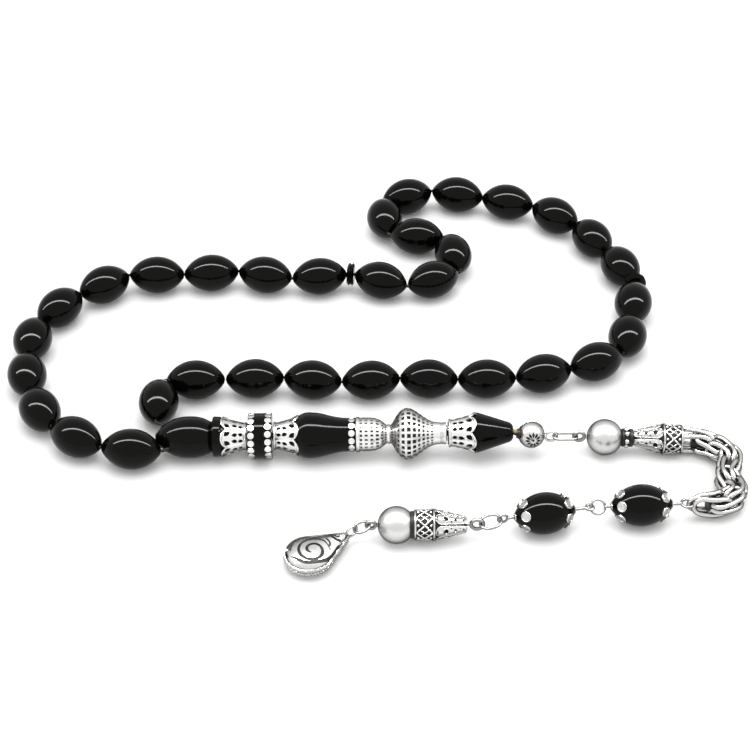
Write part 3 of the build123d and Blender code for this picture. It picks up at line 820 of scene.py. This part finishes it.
def build_flower_ball():
    """Ball engraved with a rosette, its eye, and the gilt thread that goes into it."""
    start, end = pivot("flower_ball_swing"), pivot("ball_link_swing")
    place = along(start, end)
    length = (end - start).length
    centre = 3.0
    edge = 2.5
    petals = []
    for k in range(11):
        a = TAU * k / 11
        petals.append(leaf((1.25 * math.cos(a), 1.25 * math.sin(a)), 1.3, 0.58, a))
    holes = petals + [round_hole((0, 0), 0.26)]

    def on_ball(u, v):
        away = math.hypot(u, v)
        turn = math.atan2(v, u)
        return bent(FLOWER_BALL_RADIUS * math.cos(away / FLOWER_BALL_RADIUS), turn,
                    FLOWER_BALL_RADIUS * math.sin(away / FLOWER_BALL_RADIUS))

    outline = round_hole((0, 0), edge, 48)
    plane, faces = pierced(outline, holes, 0.33)
    front = Shape()
    front.verts = [on_ball(u, v) for u, v in plane]
    front.faces = faces
    steps = 28
    first = edge / FLOWER_BALL_RADIUS
    front.join(lathe([
        (FLOWER_BALL_RADIUS * math.cos(first + (math.pi - first) * i / steps),
         FLOWER_BALL_RADIUS * math.sin(first + (math.pi - first) * i / steps) if i < steps else 0)
        for i in range(steps + 1)
    ], 48))
    front.join(ring_wire(-0.86, 2.82, 0.13, 64))

    facing = Vector((0.09, -0.97, 0.22)).normalized()
    local_axis = place.to_3x3().normalized().inverted() @ facing
    turned = local_axis.to_track_quat("X", "Z").to_matrix().to_4x4()
    silver = Shape().join(front, shift(centre) @ turned)
    silver.join(eye_shape(length + 0.36 - 1.3, 1.3, 0.62))
    silver.join(stem_shape(centre + 2.7, length - 2.1, 0.45))
    piece("flower_ball_silver", silver, place, SILVER, "flower_ball", ["flower_ball"], 40)
    # A dark ball under the pierced rosette and a dark ring at the thread end paint the shade in the
    # engraving and beside the thread hole.
    dark = ball(FLOWER_BALL_RADIUS - 0.35, (centre, 0, 0), 32)
    dark.join(lathe([(-0.25, 0.5), (-0.25, 1.05), (0.25, 1.2), (0.4, 0.5)], 32, closed=True))
    piece("flower_ball_inside", dark, place, PAINTED_SHADE, "flower_ball")

    thread = Shape()
    for k in range(3):
        strand = [
            bent(78.0 + 2.6 * i / 30, TAU * (i / 12 + k / 3), 0.32) for i in range(31)
        ]
        thread.join(tube(strand, 0.3, 8))
    piece("gilt_thread", thread, head_place(), GOLD_THREAD, "head")


# --- Chain ------------------------------------------------------------------------------
CHAIN_FOLDS = ("chain_1_swing", "chain_2_swing", "chain_3_swing", "stone_a_swing")
CHAIN_BENDS = [Vector((74.9, -30.7, 3.2)), Vector((77.6, -41.2, 3.0)), Vector((74.0, -50.8, 3.6))]
CHAIN_WIRE = 1.15
CHAIN_CORE = 1.35                      # radius of the dark tube inside the weave, which paints the shade there
CHAIN_RING_LENGTH = 8.0
CHAIN_RING_HALF_WIDTH = 2.1
CHAIN_PITCH = 3.6
CHAIN_SPAN_POINTS = 24


def chain_course():
    """Placing function along the chain's curve, its length, and where it folds."""
    folds = [pivot(name) for name in CHAIN_FOLDS]
    points = [folds[0]]
    for bend, fold in zip(CHAIN_BENDS, folds[1:]):
        points += [bend, fold]
    curve = smooth(points, CHAIN_SPAN_POINTS)
    reached = [0.0]
    for p, q in zip(curve, curve[1:]):
        reached.append(reached[-1] + (q - p).length)

    def at(s, y, z):
        i = min(max(bisect.bisect(reached, s) - 1, 0), len(curve) - 2)
        forward = (curve[i + 1] - curve[i]).normalized()
        side = UP.cross(forward).normalized()
        return curve[i] + forward * (s - reached[i]) + side * y + forward.cross(side) * z

    return at, reached[-1], [reached[2 * CHAIN_SPAN_POINTS * k] for k in range(1, 3)]


def ring_path(length, half_width):
    """Closed racetrack in the plane, centred on 0."""
    straight = length / 2 - half_width
    angles = [math.pi * (k / 10 - 0.5) for k in range(11)]
    half = [(straight + half_width * math.cos(a), half_width * math.sin(a)) for a in angles]
    half += [(straight - straight * i / 3, half_width) for i in range(1, 6)]
    return half + [(-x, -y) for x, y in half]


def build_chain():
    """Woven chain: each pair of rings stands across the next, laid along the curve."""
    at, total, folds = chain_course()
    names = ("chain_link_1", "chain_link_2", "chain_link_3")
    parts = {name: Shape() for name in names}

    def body_at(s):
        return names[sum(s > fold for fold in folds)]

    def add_ring(middle, length, half_width, offset, crossed, wire):
        points = []
        for x, y in ring_path(length, half_width):
            spread = offset * (1.0 - 0.5 * x / (length / 2))
            across = (y, spread) if crossed else (spread, y)
            points.append(at(middle + x, *across))
        parts[body_at(middle)].join(tube(points, wire / 2, 10, closed=True))

    first, last = 3.6, total - 5.0
    count = round((last - first) / CHAIN_PITCH)
    for n in range(count + 1):
        middle = first + (last - first) * n / count
        for sign in (1, -1):
            add_ring(middle, CHAIN_RING_LENGTH, CHAIN_RING_HALF_WIDTH, sign, n % 2 == 1,
                     CHAIN_WIRE)
    add_ring(1.2, 4.6, 1.5, 0.0, False, 0.9)
    add_ring(total - 2.7, 5.6, 1.7, 0.0, False, 0.9)
    world = Matrix.Scale(MM, 4)
    ends = [first - 1.0] + folds + [last + 1.0]
    for name, start, end in zip(names, ends, ends[1:]):
        # The dark tube along the weave's middle paints the shade inside the chain.
        core = [at(start + (end - start) * i / 12, 0, 0) for i in range(13)]
        piece(f"{name}_woven", parts[name], world, CHAIN_SILVER, name, [name], 60)
        piece(f"{name}_core", tube(core, CHAIN_CORE, 16), world, PAINTED_SHADE, name)


# --- Pendant ----------------------------------------------------------------------------
PENDANT_WIDE = 5.0
PENDANT_TIP = 0.9
PENDANT_RUN = (3.1, 11.9)          # stations of the tip's and the wide end's centres
PENDANT_MIDDLE = -0.7
PENDANT_DOME = 2.35
PENDANT_HEADING = math.radians(216)
PENDANT_EYE = 1.3
PENDANT_EYE_CENTRE = 0.96


def depth_inside(x, y):
    """Distance from a point to the pendant's outline."""
    first, last = PENDANT_RUN
    best = -1.0
    for i in range(33):
        t = i / 32
        radius = PENDANT_TIP + (PENDANT_WIDE - PENDANT_TIP) * t
        best = max(best, radius - math.hypot(x - first - (last - first) * t, y))
    return max(best, 0.0)


def dome_height(x, y):
    share = min(depth_inside(x, y) / PENDANT_WIDE, 1.0)
    return PENDANT_DOME * math.sqrt(1 - (1 - share) ** 2)


def teardrop(inset=0.0):
    """Outline of the pendant, as a loop."""
    first, last = PENDANT_RUN
    lean = math.acos((PENDANT_WIDE - PENDANT_TIP) / (last - first))
    wide, tip = PENDANT_WIDE - inset, PENDANT_TIP - inset
    turn = math.pi - lean
    out = [(last + wide * math.cos(turn * k / 24), wide * math.sin(turn * k / 24))
           for k in range(-24, 25)]
    out += [(first + tip * math.cos(turn + 2 * lean * k / 10), tip * math.sin(turn + 2 * lean * k / 10))
            for k in range(11)]
    return out


def ribbon(points, width, per_span=6):
    """Closed loop round a curve, tapering to both ends."""
    curve = smooth(points, per_span)
    left, right = [], []
    for i, p in enumerate(curve):
        before, after = curve[max(i - 1, 0)], curve[min(i + 1, len(curve) - 1)]
        direction = (after - before).normalized()
        share = i / (len(curve) - 1)
        half = width / 2 * min(1.0, 0.25 + 6 * share, 0.25 + 6 * (1 - share))
        across = Vector((-direction.y, direction.x)) * half
        left.append(tuple(p + across))
        right.append(tuple(p - across))
    return left + right[::-1]


def spiral(centre, inner, outer, start, turns, count):
    """Points that wind out clockwise from start degrees."""
    out = []
    for i in range(count + 1):
        share = i / count
        angle = math.radians(start - 360 * turns * share)
        radius = inner + (outer - inner) * share
        out.append((centre[0] + radius * math.cos(angle), centre[1] + radius * math.sin(angle)))
    return out


def rope(loop, radius, pitch):
    """Two wires twisted round a closed loop of points."""
    out = Shape()
    dense = []
    for p, q in zip(loop, loop[1:] + loop[:1]):
        steps = max(1, round((q - p).length / 0.12))
        dense += [p + (q - p) * i / steps for i in range(steps)]
    turns = round(len(dense) * 0.12 / pitch)
    for strand in range(2):
        points = []
        for i, p in enumerate(dense):
            direction = (dense[(i + 1) % len(dense)] - dense[i - 1]).normalized()
            across = UP.cross(direction).normalized()
            a = TAU * turns * i / len(dense) + math.pi * strand
            points.append(p + radius * (across * math.cos(a) + UP * math.sin(a)))
        out.join(tube(points, radius, 7, closed=True))
    return out


def build_pendant():
    grooves = [
        ribbon(spiral((11.6, 1.0), 0.8, 3.7, 46, 1.7, 26), 0.62, 3),
        ribbon([(10.8, -3.3), (8.2, -2.3), (6.3, -0.5), (5.4, 1.0), (4.5, 1.3)], 0.58),
        ribbon([(16.0, -0.6), (14.3, 2.9), (10.4, 4.2), (7.2, 3.0), (5.6, 2.0)], 0.62),
        ribbon([(7.4, -0.3), (7.3, 1.0), (7.9, 1.9)], 0.40),
        ribbon([(13.4, -3.3), (14.6, -2.7), (15.2, -1.9)], 0.45),
        ribbon([(14.9, -3.6), (16.0, -2.3), (16.4, -1.0)], 0.45),
        ribbon(spiral((4.6, 0.0), 0.25, 0.95, 200, 1.1, 10), 0.34, 3),
        leaf((7.4, -2.5), 1.7, 0.58, math.radians(-28)),
    ]
    plane, faces = pierced(teardrop(), grooves, 0.42)
    top = Shape()
    top.verts = [Vector((x, y, dome_height(x, y))) for x, y in plane]
    top.faces = faces
    lift = Matrix.Translation((0, 0, PENDANT_MIDDLE))
    flip = Matrix.Diagonal((1, 1, -1, 1))
    silver = Shape().join(thick(top, 0.25), lift)
    plain, plain_faces = pierced(teardrop(), [], 0.6)
    back = Shape()
    back.verts = [Vector((x, y, dome_height(x, y))) for x, y in plain]
    back.faces = plain_faces
    silver.join(back, lift @ flip)
    for inset, height in ((0.05, 0.15), (0.15, -0.75)):
        loop = [Vector((x, y, PENDANT_MIDDLE + height)) for x, y in teardrop(inset)]
        silver.join(rope(loop, 0.24, 1.05))
    silver.join(tube(circle_points(PENDANT_EYE, PENDANT_EYE_CENTRE), 0.29, 12, closed=True))
    # A dark back under the pierced top and dark wires beside the ropes paint the shade in the grooves
    # and between the ropes.
    dark = Shape()
    dark.verts = [v - Vector((0, 0, 0.3)) for v in back.verts]
    dark.faces = back.faces
    for height in (0.45, -0.3, -1.05):
        edge = [(x, y, height) for x, y in teardrop(0.15)]
        dark.join(tube(edge, 0.2, 8, closed=True))
    start = pivot("pendant_lift")
    forward = Vector((math.cos(PENDANT_HEADING), math.sin(PENDANT_HEADING), 0))
    place = along(start, start + forward)
    piece("pendant_silver", silver, place, SILVER, "pendant", ["pendant"], 40)
    piece("pendant_inside", Shape().join(dark, lift), place, PAINTED_SHADE, "pendant")


def coat(surface, *nodes):
    """Gives CAD objects that stay in view a finished surface."""
    for node in nodes:
        for slot in frame["nodes"][node].material_slots:
            slot.material = surface


build_loop()
build_head()
build_flower_ball()
build_cones()
build_balls()
build_chain()
build_stones()
build_pendant()
coat(WIRE_SILVER, "ball_link", "joining_link", "pendant_ring")
coat(HEAD_BLACK, "marker_disc_1", "marker_disc_2")
coat(THREAD, "string_head", "string_lower_row", "string_right_side", "string_upper_row")


# --- Light, floor and camera --------------------------------------------------------
# Sizes and distances are in metres here, but the target of the camera is in millimetres.
STRIP_SIZE = (3.6, 0.11)
STRIP_WATTS = 72
SOFTBOX_SIZE = (0.8, 0.8)
SOFTBOX_WATTS = 5.0
TENT_RADIANCE = 1.10
CAMERA_TARGET = Vector((1.37, -2.77, 0))
CAMERA_ELEVATION = math.radians(39.1)
CAMERA_DISTANCE = 0.4657
CAMERA_LENS = 96
PICTURE_SIZE = 750


def area_light(name, size, watts, location):
    """Rectangular lamp that faces the floor."""
    lamp = bpy.data.lights.new(name, "AREA")
    lamp.shape = "RECTANGLE"
    lamp.size, lamp.size_y = size
    lamp.energy = watts
    light = bpy.data.objects.new(name, lamp)
    light.location = location
    bpy.context.scene.collection.objects.link(light)
    return light


def build_stage():
    bpy.ops.mesh.primitive_plane_add(size=6)
    floor = bpy.context.object
    floor.name = "floor"
    white = bpy.data.materials.new("white_floor")
    white.use_nodes = True
    shader = white.node_tree.nodes["Principled BSDF"]
    shader.inputs["Base Color"].default_value = (0.93, 0.93, 0.93, 1)
    shader.inputs["Roughness"].default_value = 0.9
    shader.inputs["Specular IOR Level"].default_value = 0.0
    floor.data.materials.append(white)
    # The strip is seen only in reflections, and the softbox lights only matt surfaces.
    strip = area_light("strip", STRIP_SIZE, STRIP_WATTS, (0, 0.02, 1.0))
    strip.visible_diffuse = False
    softbox = area_light("tent", SOFTBOX_SIZE, SOFTBOX_WATTS, (0, 0.1, 0.9))
    softbox.visible_glossy = False
    world = bpy.data.worlds.new("tent")
    world.use_nodes = True
    background = world.node_tree.nodes["Background"]
    background.inputs["Color"].default_value = (*[TENT_RADIANCE] * 3, 1)
    background.inputs["Strength"].default_value = 1.0
    bpy.context.scene.world = world


def build_camera():
    away = Vector((0, -math.cos(CAMERA_ELEVATION), math.sin(CAMERA_ELEVATION)))
    data = bpy.data.cameras.new("camera")
    data.sensor_width = 36
    data.lens = CAMERA_LENS
    data.clip_start = 0.01
    camera = bpy.data.objects.new("camera", data)
    camera.location = CAMERA_TARGET * MM + away * CAMERA_DISTANCE
    camera.rotation_euler = (math.pi / 2 - CAMERA_ELEVATION, 0, 0)
    scene = bpy.context.scene
    scene.collection.objects.link(camera)
    scene.camera = camera
    scene.render.resolution_x = PICTURE_SIZE
    scene.render.resolution_y = PICTURE_SIZE
    scene.view_settings.view_transform = "Standard"
    scene.view_settings.exposure = 0.0


build_stage()
build_camera()
